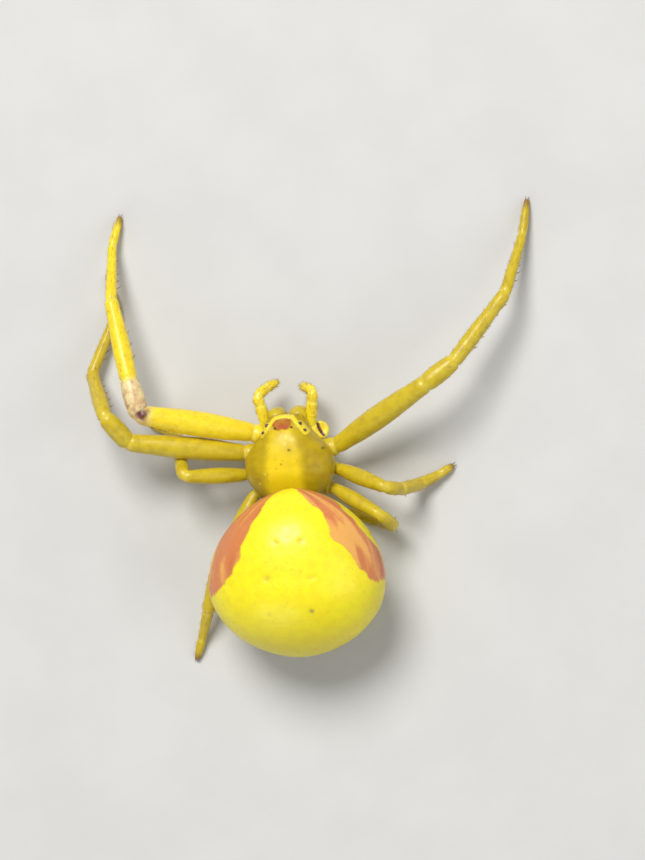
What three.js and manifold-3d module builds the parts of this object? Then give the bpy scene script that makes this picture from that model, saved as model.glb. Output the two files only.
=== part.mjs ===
// Crab spider, a gravid female at life size, in millimetres, +Z up.
// Her head points along -Y, her left side is +X, and her feet stand on the plane z = 0.
// She has lost her right first leg: only the stump of its coxa is left.
import * as THREE from "three";
import { mergeVertices } from "three/addons/utils/BufferGeometryUtils.js";
import Module from "manifold-3d";

const wasm = await Module();
wasm.setup();

// Driving sizes. Positions along the body are measured from the waist, at y = 0.
const gap = 0.1; // clearance between neighbouring pieces, small because a leg is under a millimetre thick
const tiny = 1e-4;

const carapace = {
  front: -3.38,
  length: 3.43,
  width: 3.42,
  frontWidth: 1.9,
  margin: 1.85, // height of its lower edge above the ground
  height: 1.2,
  rim: 0.12,
};
const abdomen = {
  front: -0.58,
  length: 6.42,
  width: 6.76,
  widestAt: 0.555, // share of the length
  frontHeight: 3.62,
  middleHeight: 3.1,
  rearHeight: 2.75,
  rise: 2.55, // from the widest line up to the top
  drop: 2.72, // and down to the belly
  shift: -0.12, // it hangs a little to her right
  lean: -0.14, // and its front a little more
};
const sternum = { middle: -1.5, length: 2.5, width: 1.5, bottom: 0.95 };
const trochanterHeight = 1.52;
const coxa = { height: 1.34, girth: 0.37, rearGirth: 0.31 };
const stump = { share: 0.8, upward: 0.75 }; // where along the coxa it ends, and how far its scar faces up
const footRadius = 0.17;
const footHeight = 0.12; // of the centre of the foot's ball, lower than its radius so that it stands on a flat
const pairs = [
  // one entry for each pair of legs
  {
    root: [1.42, -2.78],
    girth: 0.49,
    tibiaGirth: 0.48,
    lengths: { femur: 4.45, patella: 1.42, tibia: 3.3, metatarsus: 2.6, tarsus: 1.25 },
  },
  {
    root: [1.8, -2.02],
    girth: 0.45,
    tibiaGirth: 0.4,
    lengths: { femur: 4.48, patella: 1.38, tibia: 3.3, metatarsus: 2.65, tarsus: 1.4 },
  },
  {
    root: [1.74, -1.18],
    girth: 0.31,
    tibiaGirth: 0.31,
    lengths: { femur: 2.55, patella: 0.92, tibia: 1.6, metatarsus: 0.88, tarsus: 0.6 },
  },
  {
    root: [1.5, -0.46],
    girth: 0.3,
    tibiaGirth: 0.3,
    lengths: { femur: 2.5, patella: 0.95, tibia: 1.7, metatarsus: 1.35, tarsus: 0.85 },
  },
];
// The pose in degrees: for each piece of a leg, its heading from straight ahead out to the side, and its slope.
// The metatarsus takes whatever slope brings the foot to the ground.
const pose = {
  left_1: { femur: [76, 20], patella: [13, -6], tibia: [12, -16], metatarsus: [3], tarsus: [-15, -20] },
  left_2: { femur: [80, 16], patella: [34, 24], tibia: [30, -53], metatarsus: [-25], tarsus: [13, -8] },
  left_3: { femur: [87, 28], patella: [22, -50], tibia: [16, -52], metatarsus: [60], tarsus: [70, -10] },
  left_4: { femur: [149, 4], patella: [147, -12], tibia: [161, -18], metatarsus: [157], tarsus: [159, -12] },
  right_2: { femur: [61, 18], patella: [56, -6], tibia: [40, -17], metatarsus: [18], tarsus: [10, -18] },
  right_3: { femur: [113, 32], patella: [106, -58], tibia: [78, -69], metatarsus: [68], tarsus: [60, -16] },
  right_4: { femur: [121, 28], patella: [140, -50], tibia: [280, -66], metatarsus: [290], tarsus: [280, -8] },
};

const skin = new THREE.MeshStandardMaterial({ color: 0xe3c51f, roughness: 0.42 });
const shell = new THREE.MeshStandardMaterial({ color: 0xcfae22, roughness: 0.32 });
const swollen = new THREE.MeshStandardMaterial({ color: 0xf6e51c, roughness: 0.5 });
const dark = new THREE.MeshStandardMaterial({ color: 0x5a2a12, roughness: 0.3 });
const eyeBlack = new THREE.MeshStandardMaterial({ color: 0x140d08, roughness: 0.08 });

// A closed three.js geometry as a solid, with the triangles that shrink to nothing at a pole left out.
function solidOf(geometry) {
  const bare = new THREE.BufferGeometry();
  bare.setAttribute("position", geometry.getAttribute("position"));
  if (geometry.index) bare.setIndex(geometry.index);
  const merged = mergeVertices(bare, tiny);
  const corners = merged.index.array;
  const kept = [];
  for (let i = 0; i < corners.length; i += 3) {
    const [a, b, c] = [corners[i], corners[i + 1], corners[i + 2]];
    if (a !== b && b !== c && c !== a) kept.push(a, b, c);
  }
  return new wasm.Manifold(
    new wasm.Mesh({
      numProp: 3,
      vertProperties: merged.getAttribute("position").array,
      triVerts: new Uint32Array(kept),
    }),
  );
}

function geometryOf(solid) {
  const mesh = solid.getMesh();
  const geometry = new THREE.BufferGeometry();
  geometry.setAttribute("position", new THREE.BufferAttribute(new Float32Array(mesh.vertProperties), 3));
  geometry.setIndex(new THREE.BufferAttribute(new Uint32Array(mesh.triVerts), 1));
  return geometry;
}

// The same solid with its skin moved outwards, to cut a neighbour clear of it.
function grown(solid, by = gap) {
  const geometry = geometryOf(solid);
  geometry.computeVertexNormals();
  const at = geometry.getAttribute("position");
  const normal = geometry.getAttribute("normal");
  for (let i = 0; i < at.count; i++) {
    const moved = new THREE.Vector3().fromBufferAttribute(normal, i).multiplyScalar(by);
    moved.add(new THREE.Vector3().fromBufferAttribute(at, i));
    at.setXYZ(i, moved.x, moved.y, moved.z);
  }
  return solidOf(geometry);
}

const largest = (solid) => solid.decompose().sort((a, b) => b.volume() - a.volume())[0];

// A piece cut clear of its neighbours by the gap, so that it meets each of them face to face.
const fitted = (piece, ...neighbours) =>
  largest(neighbours.reduce((left, neighbour) => left.subtract(grown(neighbour)), piece));

// A sphere with its poles on the Y axis, each point moved by shape(point, share along Y, across, up). Across and
// up give the way out from the axis, and are both 0 at the poles.
function moulded(around, along, shape) {
  const geometry = new THREE.SphereGeometry(1, around, along);
  const at = geometry.getAttribute("position");
  const point = new THREE.Vector3();
  for (let i = 0; i < at.count; i++) {
    const girth = Math.hypot(at.getX(i), at.getZ(i));
    const [across, up] = [at.getX(i), at.getZ(i)].map((v) => (Math.abs(v) < tiny ? 0 : v / girth));
    shape(point, (at.getY(i) + 1) / 2, across, up);
    at.setXYZ(i, point.x, point.y, point.z);
  }
  return solidOf(geometry);
}

const smooth = (low, high, t) => THREE.MathUtils.smoothstep(t, low, high);
const blend = THREE.MathUtils.lerp;

// How full the body is at a share t of its length, from 0 at both ends to 1 at the widest.
function fullness(t, widest, power) {
  const u = t < widest ? (widest - t) / widest : (t - widest) / (1 - widest);
  return Math.pow(Math.max(0, 1 - u * u), power);
}

const signedPower = (value, power) => Math.sign(value) * Math.pow(Math.abs(value), power);

// The carapace: a low dome, blunt at the eyes, round at the sides, over a flat underside with a thin rim.
function carapaceSolid() {
  const { front, length, width, frontWidth, margin, height, rim } = carapace;
  return moulded(36, 20, (point, t, across, up) => {
    const headShare = 1 - smooth(0.04, 0.5, t);
    const side = blend(fullness(t, 0.58, 0.5) * width, fullness(t, 0.5, 0.16) * frontWidth, headShare);
    const fall = (1 - 0.3 * smooth(0.62, 1, t)) * (0.86 + 0.14 * smooth(0, 0.3, t));
    const top = height * fullness(t, 0.5, 0.24) * fall;
    point.set(
      (side * signedPower(across, 0.8)) / 2,
      front + length * t,
      margin + (up > 0 ? rim + top * Math.pow(up, 0.82) : 0),
    );
  });
}

function abdomenSolid() {
  const { front, length, width, widestAt, frontHeight, middleHeight, rearHeight } = abdomen;
  const { rise, drop, shift, lean } = abdomen;
  return moulded(36, 24, (point, t, across, up) => {
    const full = fullness(t, widestAt, t < widestAt ? 0.6 : 0.55);
    const middle = blend(
      blend(frontHeight, middleHeight, smooth(0, widestAt, t)),
      rearHeight,
      smooth(widestAt, 1, t),
    );
    const below = fullness(t, widestAt, t < widestAt ? 0.8 : 0.6);
    point.set(
      shift + lean * (1 - smooth(0, 0.5, t)) + (full * width * across) / 2,
      front + length * t,
      middle + up * (up > 0 ? rise * full : drop * below),
    );
  });
}

// The sternum and the flesh over it, a shield-shaped block with the labium at its front.
function sternumSolid() {
  const { middle, length, width, bottom } = sternum;
  const top = carapace.margin - gap;
  const height = top - bottom;
  const block = moulded(20, 10, (point, t, across, up) => {
    const side = fullness(t, 0.38, 0.42) * width;
    point.set(
      (side * signedPower(across, 0.7)) / 2,
      middle + length * (t - 0.5),
      bottom + height * (0.5 + signedPower(up, 0.6) / 2),
    );
  });
  const labium = limb(
    new THREE.Vector3(0, middle - length * 0.32, bottom + 0.22),
    new THREE.Vector3(0, middle - length * 0.62, bottom + 0.16),
    [0.26, 0.24, 0.16],
    10,
  );
  return largest(block.add(labium));
}

// A limb piece: a turned form between two joints, with a ball at each end. The girths are radii spaced evenly.
function limb(from, to, girths, sides = 12) {
  const along = new THREE.Vector3().subVectors(to, from);
  const length = along.length();
  const profile = [];
  const last = girths.length - 1;
  const ballSteps = 3;
  for (let i = 0; i <= ballSteps; i++) {
    const a = (i / ballSteps) * (Math.PI / 2);
    profile.push(new THREE.Vector2(girths[0] * Math.sin(a), -girths[0] * Math.cos(a)));
  }
  for (let i = 1; i < last; i++) profile.push(new THREE.Vector2(girths[i], (length * i) / last));
  for (let i = ballSteps; i >= 0; i--) {
    const a = (i / ballSteps) * (Math.PI / 2);
    profile.push(new THREE.Vector2(girths[last] * Math.sin(a), length + girths[last] * Math.cos(a)));
  }
  profile[0].x = 0;
  profile[profile.length - 1].x = 0;
  const geometry = new THREE.LatheGeometry(profile, sides);
  const turn = new THREE.Quaternion().setFromUnitVectors(new THREE.Vector3(0, 1, 0), along.normalize());
  geometry.applyQuaternion(turn).translate(from.x, from.y, from.z);
  return solidOf(geometry);
}

// The part of a solid on one side of a plane through a joint, half a gap back from it.
function trimmed(solid, joint, normal) {
  return solid.trimByPlane([normal.x, normal.y, normal.z], joint.dot(normal) + gap / 2);
}

const rootOf = (side, pair) => new THREE.Vector3(side * pair.root[0], pair.root[1], trochanterHeight);

const coxaStart = (side, pair) =>
  new THREE.Vector3(side * pair.root[0] * 0.3, blend(sternum.middle, pair.root[1], 0.7), coxa.height);

// The upright plane midway between two limbs that lie side by side, facing the first of them.
function partingPlane(inners, outers, own, other) {
  const near = inners[own].clone().lerp(inners[other], 0.5);
  const far = outers[own].clone().lerp(outers[other], 0.5);
  const normal = new THREE.Vector3(0, 0, 1).cross(far.clone().sub(near)).normalize();
  return [near, normal.dot(outers[own].clone().sub(far)) < 0 ? normal.negate() : normal];
}

const heading = (side, [turn, slope]) => {
  const a = THREE.MathUtils.degToRad(turn);
  const e = THREE.MathUtils.degToRad(slope);
  return new THREE.Vector3(side * Math.sin(a) * Math.cos(e), -Math.cos(a) * Math.cos(e), Math.sin(e));
};

const pieceNames = ["femur", "patella", "tibia", "metatarsus", "tarsus"];

// The joints of a leg, from its root at the trochanter to the tip of its foot.
function legJoints(name, side, pair) {
  const angles = pose[name];
  const joints = [rootOf(side, pair)];
  let rest = footHeight - trochanterHeight;
  for (const piece of pieceNames) {
    if (piece !== "metatarsus") rest -= pair.lengths[piece] * Math.sin(THREE.MathUtils.degToRad(angles[piece][1]));
  }
  const slope = THREE.MathUtils.radToDeg(Math.asin(rest / pair.lengths.metatarsus));
  for (const piece of pieceNames) {
    const [turn, own] = angles[piece];
    const step = heading(side, [turn, own ?? slope]).multiplyScalar(pair.lengths[piece]);
    joints.push(joints[joints.length - 1].clone().add(step));
  }
  return joints;
}

// The short stiff spines in two rows under the tibia and metatarsus of the long front legs.
const spines = { perRow: 4, length: 0.34, base: 0.075, splay: 38, lean: 35 };
function withSpines(solid, from, to, radius) {
  const along = new THREE.Vector3().subVectors(to, from);
  const length = along.length();
  along.normalize();
  const across = new THREE.Vector3(0, 0, 1).cross(along).normalize();
  const under = along.clone().cross(across);
  if (under.z > 0) under.negate();
  for (let i = 0; i < spines.perRow; i++) {
    for (const row of [-1, 1]) {
      const splay = THREE.MathUtils.degToRad(spines.splay);
      const out = under.clone().multiplyScalar(Math.cos(splay)).addScaledVector(across, row * Math.sin(splay));
      const lean = THREE.MathUtils.degToRad(spines.lean);
      const way = out.clone().multiplyScalar(Math.cos(lean)).addScaledVector(along, Math.sin(lean));
      const t = 0.2 + (0.62 * (i + 0.25 * (row + 1))) / (spines.perRow - 0.5);
      const size = spines.length * (1 - 0.12 * i + 0.05 * row);
      const root = from.clone().addScaledVector(along, length * t).addScaledVector(out, radius * 0.6);
      const tall = size + radius * 0.4;
      const cone = new THREE.ConeGeometry(spines.base, tall, 5, 1);
      cone.translate(0, tall / 2, 0);
      cone.applyQuaternion(new THREE.Quaternion().setFromUnitVectors(new THREE.Vector3(0, 1, 0), way));
      cone.translate(root.x, root.y, root.z);
      solid = solid.add(solidOf(cone));
    }
  }
  return solid;
}

// Radii of each piece as shares of the leg's girth. Joints are drawn in a little, as the real ones are.
const girthShares = {
  femur: [0.7, 0.92, 1, 0.98, 0.88, 0.74],
  patella: [0.74, 0.84, 0.82, 0.68],
  tibia: [0.68, 0.76, 0.72, 0.64, 0.54],
};
const slender = { metatarsus: [0.25, 0.26, 0.24, 0.22], tarsus: [0.22, 0.23, 0.21, footRadius] };
const sidesOf = { femur: 14, patella: 12, tibia: 12, metatarsus: 10, tarsus: 10 };

// One leg as a list of named solids beyond its coxa. The long foot joins the metatarsus and the tarsus.
function legSolids(name, side, number, coxaWay) {
  const pair = pairs[number - 1];
  const joints = legJoints(name, side, pair);
  const ways = joints.slice(1).map((joint, i) => joint.clone().sub(joints[i]).normalize());
  const cuts = joints.slice(0, -1).map((joint, i) => {
    const before = i ? ways[i - 1] : coxaWay;
    return before.clone().add(ways[i]).normalize();
  });
  const radiiOf = (piece) => {
    const shares = girthShares[piece];
    if (!shares) return slender[piece];
    if (piece === "tibia") return shares.map((share) => Math.max(0.25, share * pair.tibiaGirth));
    return shares.map((share) => share * pair.girth);
  };
  const raw = pieceNames.map((piece, i) => {
    const made = limb(joints[i], joints[i + 1], radiiOf(piece), sidesOf[piece]);
    const spiny = number < 3 && (piece === "tibia" || piece === "metatarsus");
    return spiny ? withSpines(made, joints[i], joints[i + 1], radiiOf(piece)[2]) : made;
  });
  const ground = new THREE.Vector3(0, 0, 1);
  const foot = raw[3].add(raw[4]).trimByPlane([ground.x, ground.y, ground.z], 0);
  return {
    joints,
    firstCut: cuts[0],
    solids: {
      femur: largest(trimmed(trimmed(raw[0], joints[0], cuts[0]), joints[1], cuts[1].clone().negate())),
      patella: largest(trimmed(trimmed(raw[1], joints[1], cuts[1]), joints[2], cuts[2].clone().negate())),
      tibia: largest(trimmed(trimmed(raw[2], joints[2], cuts[2]), joints[3], cuts[3].clone().negate())),
      foot: largest(trimmed(foot, joints[3], cuts[3])),
    },
  };
}

const spider = new THREE.Group();
function addPiece(name, solid, material) {
  const mesh = new THREE.Mesh(geometryOf(solid), material);
  mesh.name = name;
  spider.add(mesh);
}

const sides = [
  ["left", 1],
  ["right", -1],
];

const shellSolid = carapaceSolid();
const breast = sternumSolid();
const belly = abdomenSolid();

// The eyes stand in two curved rows of four across the front of the head, the outer ones on a swelling on each
// side, and a brow ridge arches round the front row.
const eyes = [
  { row: "front_middle", at: [0.2, -3.22], radius: 0.055 },
  { row: "front_side", at: [0.63, -2.98], radius: 0.085 },
  { row: "rear_middle", at: [0.32, -2.86], radius: 0.05 },
  { row: "rear_side", at: [0.8, -2.72], radius: 0.07 },
];
const eyeGap = 0.03;
const brow = { path: [[0.62, -2.88], [0.47, -3.08], [0.34, -3.25], [0, -3.31]], girth: 0.1, sunk: 0.035 };
const swelling = { path: [[0.84, -2.66], [0.6, -2.98]], girth: 0.15, sunk: 0.06 };

const bothSides = new THREE.MeshBasicMaterial({ side: THREE.DoubleSide });
const shellMesh = new THREE.Mesh(geometryOf(shellSolid), bothSides);
const breastMesh = new THREE.Mesh(geometryOf(breast), bothSides);
const caster = new THREE.Raycaster();
// Where a ray first meets a surface.
function surfacePoint(mesh, from, way) {
  caster.set(from, way);
  return caster.intersectObject(mesh)[0];
}

const down = new THREE.Vector3(0, 0, -1);
const onTop = (mesh, side, [x, y]) => surfacePoint(mesh, new THREE.Vector3(side * x, y, 9), down).point;

let headShell = shellSolid;
for (const { path, girth, sunk } of [brow, swelling]) {
  for (const [, side] of sides) {
    const points = path.map((at) => onTop(shellMesh, side, at).addScaledVector(down, sunk));
    for (let i = 1; i < points.length; i++) {
      headShell = headShell.add(limb(points[i - 1], points[i], [girth, girth, girth], 7));
    }
  }
}
const headMesh = new THREE.Mesh(geometryOf(headShell), bothSides);
for (const { row, at, radius } of eyes) {
  for (const [sideName, side] of sides) {
    const seat = onTop(headMesh, side, at).addScaledVector(down, radius * 0.3);
    const ball = solidOf(new THREE.SphereGeometry(radius, 9, 6).translate(seat.x, seat.y, seat.z));
    headShell = headShell.subtract(grown(ball, eyeGap));
    addPiece(`eye_${row}_${sideName}`, ball, eyeBlack);
  }
}
addPiece("carapace", largest(headShell), shell);
addPiece("sternum", breast, shell);

// Jaws, mouthparts and feelers
const jaw = { out: 0.45, top: [-3.2, 2.05], bottom: [-3.28, 0.85], girths: [0.36, 0.43, 0.41, 0.28] };
const fang = { tip: [0.06, -3.02, 0.6], girths: [0.13, 0.1, 0.05] };
const maxilla = { root: [0.46, -2.66, 1.2], tip: [0.24, -2.98, 1.02], girths: [0.2, 0.22, 0.17] };
const feeler = { root: [0.82, -2.84, 1.5], knee: [1.08, -4.16, 1.85] };
const feelerTips = { left: [0.34, -4.66, 1.2], right: [0.5, -4.42, 1.0] };
const feelerGirths = { base: [0.23, 0.23, 0.22, 0.2], tip: [0.2, 0.21, 0.19, 0.12] };

for (const [sideName, side] of sides) {
  const place = ([x, y, z]) => new THREE.Vector3(side * x, y, z);
  const jawTop = place([jaw.out, ...jaw.top]);
  const jawBottom = place([jaw.out * 0.86, ...jaw.bottom]);
  const ownHalf = (solid) => trimmed(solid, new THREE.Vector3(), new THREE.Vector3(side, 0, 0));
  const jawSolid = fitted(ownHalf(limb(jawTop, jawBottom, jaw.girths, 14)), shellSolid, breast);
  const fangRoot = jawBottom.clone().addScaledVector(down, 0.2);
  const fangSolid = fitted(ownHalf(limb(fangRoot, place(fang.tip), fang.girths, 8)), jawSolid);
  const maxillaWhole = limb(place(maxilla.root), place(maxilla.tip), maxilla.girths, 10);
  const maxillaSolid = fitted(maxillaWhole, shellSolid, breast, jawSolid, fangSolid);
  const root = place(feeler.root);
  const knee = place(feeler.knee);
  const tip = place(feelerTips[sideName]);
  const bend = knee.clone().sub(root).normalize().add(tip.clone().sub(knee).normalize()).normalize();
  const firstInner = coxaStart(side, pairs[0]);
  const parting = partingPlane([root, firstInner], [knee, rootOf(side, pairs[0])], 0, 1);
  const baseWhole = trimmed(limb(root, knee, feelerGirths.base, 10), knee, bend.clone().negate());
  const baseSolid = fitted(trimmed(baseWhole, ...parting), shellSolid, breast, jawSolid, maxillaSolid);
  const tipSolid = largest(trimmed(limb(knee, tip, feelerGirths.tip, 10), knee, bend));
  addPiece(`chelicera_${sideName}`, jawSolid, skin);
  addPiece(`fang_${sideName}`, fangSolid, dark);
  addPiece(`maxilla_${sideName}`, maxillaSolid, skin);
  addPiece(`palp_${sideName}_base`, baseSolid, skin);
  addPiece(`palp_${sideName}_tip`, tipSolid, skin);

  // Legs: each coxa starts on the side of the sternum, under the edge of the carapace. Upright planes part it
  // from the coxae before and behind it, and the first from the palp.
  const inners = [root, ...pairs.map((pair) => coxaStart(side, pair))];
  const outers = [knee, ...pairs.map((pair) => rootOf(side, pair))];
  for (let number = 1; number <= 4; number++) {
    const name = `${sideName}_${number}`;
    const trochanter = outers[number];
    const coxaWay = trochanter.clone().sub(inners[number]).normalize();
    const thick = number < 3 ? coxa.girth : coxa.rearGirth;
    const leg = pose[name] && legSolids(name, side, number, coxaWay);
    const end = leg ? trochanter : inners[number].clone().lerp(trochanter, stump.share);
    const endWay = leg ? leg.firstCut : coxaWay.clone().addScaledVector(down, -stump.upward).normalize();
    let solid = limb(inners[number], trochanter, [thick * 0.9, thick * 1.06, thick], 12);
    solid = trimmed(solid, end, endWay.clone().negate());
    solid = trimmed(solid, new THREE.Vector3(0, 0, carapace.margin - gap / 2), new THREE.Vector3(0, 0, -1));
    for (const other of [number - 1, number + 1]) {
      if (outers[other]) solid = trimmed(solid, ...partingPlane(inners, outers, number, other));
    }
    const seat = surfacePoint(breastMesh, trochanter, coxaWay.clone().negate());
    solid = trimmed(solid, seat.point.addScaledVector(seat.face.normal, gap / 2), seat.face.normal);
    addPiece(leg ? `leg_${name}_coxa` : `leg_${name}_coxa_stump`, largest(solid), skin);
    for (const [piece, made] of Object.entries(leg ? leg.solids : {})) {
      addPiece(`leg_${name}_${piece}`, made, skin);
    }
  }
}

// The waist, and the spinnerets under the rear of the abdomen
const waist = limb(new THREE.Vector3(0, -0.55, 1.62), new THREE.Vector3(0, 0.75, 2.0), [0.26, 0.26, 0.3], 12);
addPiece("pedicel", fitted(waist, shellSolid, breast, belly), skin);

const spinnerets = {
  root: [4.85, 1.02],
  end: [5.3, 1.3],
  radius: 0.4,
  pairs: [
    { out: 0.22, share: 0.1, radius: 0.19, length: 0.5 },
    { out: 0.2, share: 0.85, radius: 0.16, length: 0.46 },
  ],
};
const stalkRoot = new THREE.Vector3(abdomen.shift, ...spinnerets.root);
const stalkEnd = new THREE.Vector3(abdomen.shift, ...spinnerets.end);
let cluster = limb(stalkRoot, stalkEnd, [spinnerets.radius, spinnerets.radius, spinnerets.radius], 12);
for (const { out, share, radius, length } of spinnerets.pairs) {
  for (const [, side] of sides) {
    const base = stalkRoot.clone().lerp(stalkEnd, share).add(new THREE.Vector3(side * out, 0, -0.1));
    const end = base.clone().add(new THREE.Vector3(side * 0.05, length * 0.7, -length * 0.7));
    cluster = cluster.add(limb(base, end, [radius, radius * 0.95, radius * 0.6], 9));
  }
}
addPiece("abdomen", belly, swollen);
addPiece("spinnerets", fitted(cluster, belly), skin);

// The origin is on the ground, at the middle of the space that the spider takes up.
const box = new THREE.Box3().setFromObject(spider);
const middle = box.getCenter(new THREE.Vector3());
spider.position.set(-middle.x, -middle.y, 0);

export default spider;
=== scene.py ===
import math
import random
import bpy
import numpy as np
from mathutils import Matrix, Vector, noise


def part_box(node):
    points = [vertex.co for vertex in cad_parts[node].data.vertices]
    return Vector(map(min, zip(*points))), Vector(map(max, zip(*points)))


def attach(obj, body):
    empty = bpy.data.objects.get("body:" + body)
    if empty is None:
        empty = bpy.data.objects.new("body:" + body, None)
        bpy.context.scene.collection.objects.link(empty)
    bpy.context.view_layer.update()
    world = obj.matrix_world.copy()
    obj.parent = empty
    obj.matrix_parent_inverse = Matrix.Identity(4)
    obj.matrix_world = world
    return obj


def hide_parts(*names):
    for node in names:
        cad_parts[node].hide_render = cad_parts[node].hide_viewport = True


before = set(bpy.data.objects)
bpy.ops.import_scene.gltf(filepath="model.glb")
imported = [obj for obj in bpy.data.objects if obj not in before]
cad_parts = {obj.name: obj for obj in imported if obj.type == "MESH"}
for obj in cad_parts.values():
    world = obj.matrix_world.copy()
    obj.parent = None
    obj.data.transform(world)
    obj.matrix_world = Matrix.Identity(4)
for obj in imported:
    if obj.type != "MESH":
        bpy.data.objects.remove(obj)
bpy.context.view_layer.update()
mm = 0.001
sides = {"left": 1, "right": -1}

# Positions below are in millimetres from the waist, on the ground, as the animal stands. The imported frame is
# centred on the whole spider, so the abdomen's own box says how far apart the two are.
abdomenForm = {
    "front": -0.58, "length": 6.42, "width": 6.76, "widestAt": 0.555, "frontHeight": 3.62, "middleHeight": 3.1,
    "rearHeight": 2.75, "rise": 2.55, "drop": 2.72, "shift": -0.12, "lean": -0.14,
}
abdomenLow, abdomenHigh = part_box("abdomen")
waist = Vector((
    (abdomenLow.x + abdomenHigh.x) / 2 - abdomenForm["shift"] * mm,
    abdomenLow.y - abdomenForm["front"] * mm,
    0,
))


def place(point):
    return Vector(point) * mm + waist


def smooth(low, high, value):
    t = min(1, max(0, (value - low) / (high - low)))
    return t * t * (3 - 2 * t)


def blend(a, b, t):
    return a + (b - a) * t


# Evenly spaced shares from 0 to 1.
def steps(count):
    return [i / (count - 1) for i in range(count)]


def curveAt(points, x):
    return float(np.interp(x, [p[0] for p in points], [p[1] for p in points]))


# A rounded profile that is 0 at both ends and 1 where it is widest.
def fullness(t, widest, power):
    u = (widest - t) / widest if t < widest else (t - widest) / (1 - widest)
    return max(0, 1 - u * u) ** power


def signedPower(value, power):
    return math.copysign(abs(value) ** power, value)


def bump(distance, width):
    return math.exp(-((distance / width) ** 2))


def grainy(point, scale, seed=0):
    return noise.noise(Vector(point) * scale + Vector((seed * 7.3, seed * 3.1, seed)))


# Links a mesh of body millimetres as one piece that rides on the root body.
def makePiece(name, verts, faces, material, marks=None, uvs=None, uvName="surface"):
    mesh = bpy.data.meshes.new(name)
    mesh.from_pydata([place(v) for v in verts], [], faces)
    mesh.polygons.foreach_set("use_smooth", [True] * len(mesh.polygons))
    for markName, values in (marks or {}).items():
        layer = mesh.attributes.new(markName, "FLOAT", "POINT")
        layer.data.foreach_set("value", values)
    if uvs is not None:
        layer = mesh.uv_layers.new(name=uvName)
        corners = np.empty(len(mesh.loops), dtype=np.int32)
        mesh.loops.foreach_get("vertex_index", corners)
        layer.data.foreach_set("uv", np.array(uvs, dtype=np.float32)[corners].ravel())
    mesh.update()
    piece = bpy.data.objects.new(name, mesh)
    bpy.context.collection.objects.link(piece)
    mesh.materials.append(material)
    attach(piece, "root")
    return piece


# Faces between two rings of n vertices that start at a and at b.
def strip(a, b, n):
    return [(a + k, a + (k + 1) % n, b + (k + 1) % n, b + k) for k in range(n)]


# A closed form with its poles on Y. shape(t, across, up) gives each point, and notes its marks.
def moulded(around, along, shape):
    turns = [2 * math.pi * i / around for i in range(around)]
    verts = [shape(0, 0, 0)]
    for j in range(1, along):
        t = 0.5 - 0.5 * math.cos(math.pi * j / along)
        verts += [shape(t, math.cos(a), math.sin(a)) for a in turns]
    verts.append(shape(1, 0, 0))
    faces = [(0, 1 + (i + 1) % around, 1 + i) for i in range(around)]
    for j in range(along - 2):
        faces += strip(1 + j * around, 1 + (j + 1) * around, around)
    last = 1 + (along - 2) * around
    faces += [(last + i, last + (i + 1) % around, len(verts) - 1) for i in range(around)]
    return verts, faces


# A closed tube through the centres, with low cones as its ends. It also says which ring each vertex is in.
def sweep(centres, radii, sides, flatten=None):
    centres = [Vector(c) for c in centres]
    count = len(centres)
    ways = [(centres[min(i + 1, count - 1)] - centres[max(i - 1, 0)]).normalized() for i in range(count)]
    side = ways[0].cross(Vector((0, 0, 1)))
    if side.length < 0.1:
        side = ways[0].cross(Vector((0, 1, 0)))
    side.normalize()
    verts = []
    for i, (centre, way, radius) in enumerate(zip(centres, ways, radii)):
        side = (side - way * side.dot(way)).normalized()
        other = way.cross(side)
        squash = flatten[i] if flatten else 1
        for k in range(sides):
            a = 2 * math.pi * k / sides
            verts.append(centre + side * math.cos(a) * radius + other * math.sin(a) * radius * squash)
    faces = []
    for i in range(count - 1):
        faces += strip(i * sides, (i + 1) * sides, sides)
    verts += [centres[0] - ways[0] * radii[0] * 0.25, centres[-1] + ways[-1] * radii[-1] * 0.25]
    tail, head = len(verts) - 2, len(verts) - 1
    last = (count - 1) * sides
    faces += [(tail, (k + 1) % sides, k) for k in range(sides)]
    faces += [(head, last + k, last + (k + 1) % sides) for k in range(sides)]
    ringOf = [i // sides for i in range(last + sides)] + [0, count - 1]
    return verts, faces, ringOf


# Many fine tapering hairs in one mesh, each with its own small patch of the skin's unwrap.
class Hairs:
    def __init__(self):
        self.verts, self.faces, self.uvs = [], [], []

    def add(self, root, way, length, radius, uv, bend=Vector((0, 0, 0)), sides=3, rings=3):
        side = way.cross(Vector((0.3, 0.5, 0.8))).normalized()
        other = way.cross(side)
        start = len(self.verts)
        for j in range(rings):
            t = j / rings
            centre = root + way * length * t + bend * length * t * t
            for k in range(sides):
                a = 2 * math.pi * k / sides
                self.verts.append(centre + (side * math.cos(a) + other * math.sin(a)) * radius * (1 - 0.7 * t))
                self.uvs.append((uv[0] + 0.0015 * math.cos(a), uv[1] + 0.0015 * math.sin(a)))
        self.verts.append(root + way * length + bend * length)
        self.uvs.append(uv)
        for j in range(rings - 1):
            self.faces += strip(start + j * sides, start + (j + 1) * sides, sides)
        tip, last = start + rings * sides, start + (rings - 1) * sides
        self.faces += [(last + k, last + (k + 1) % sides, tip) for k in range(sides)]

    def finish(self, name, material):
        return makePiece(name, self.verts, self.faces, material, uvs=self.uvs, uvName="OFBake")


def nodeGroup(name, inputs, outputs):
    group = bpy.data.node_groups.new(name, "ShaderNodeTree")
    for socketName, kind, value in inputs:
        socket = group.interface.new_socket(socketName, in_out="INPUT", socket_type=kind)
        socket.default_value = value
    for socketName, kind in outputs:
        group.interface.new_socket(socketName, in_out="OUTPUT", socket_type=kind)
    return group, group.nodes.new("NodeGroupInput"), group.nodes.new("NodeGroupOutput")


def addNode(tree, kind, settings=None, **values):
    node = tree.nodes.new(kind)
    for key, value in (settings or {}).items():
        setattr(node, key, value)
    for key, value in values.items():
        node.inputs[key].default_value = value
    return node


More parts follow.
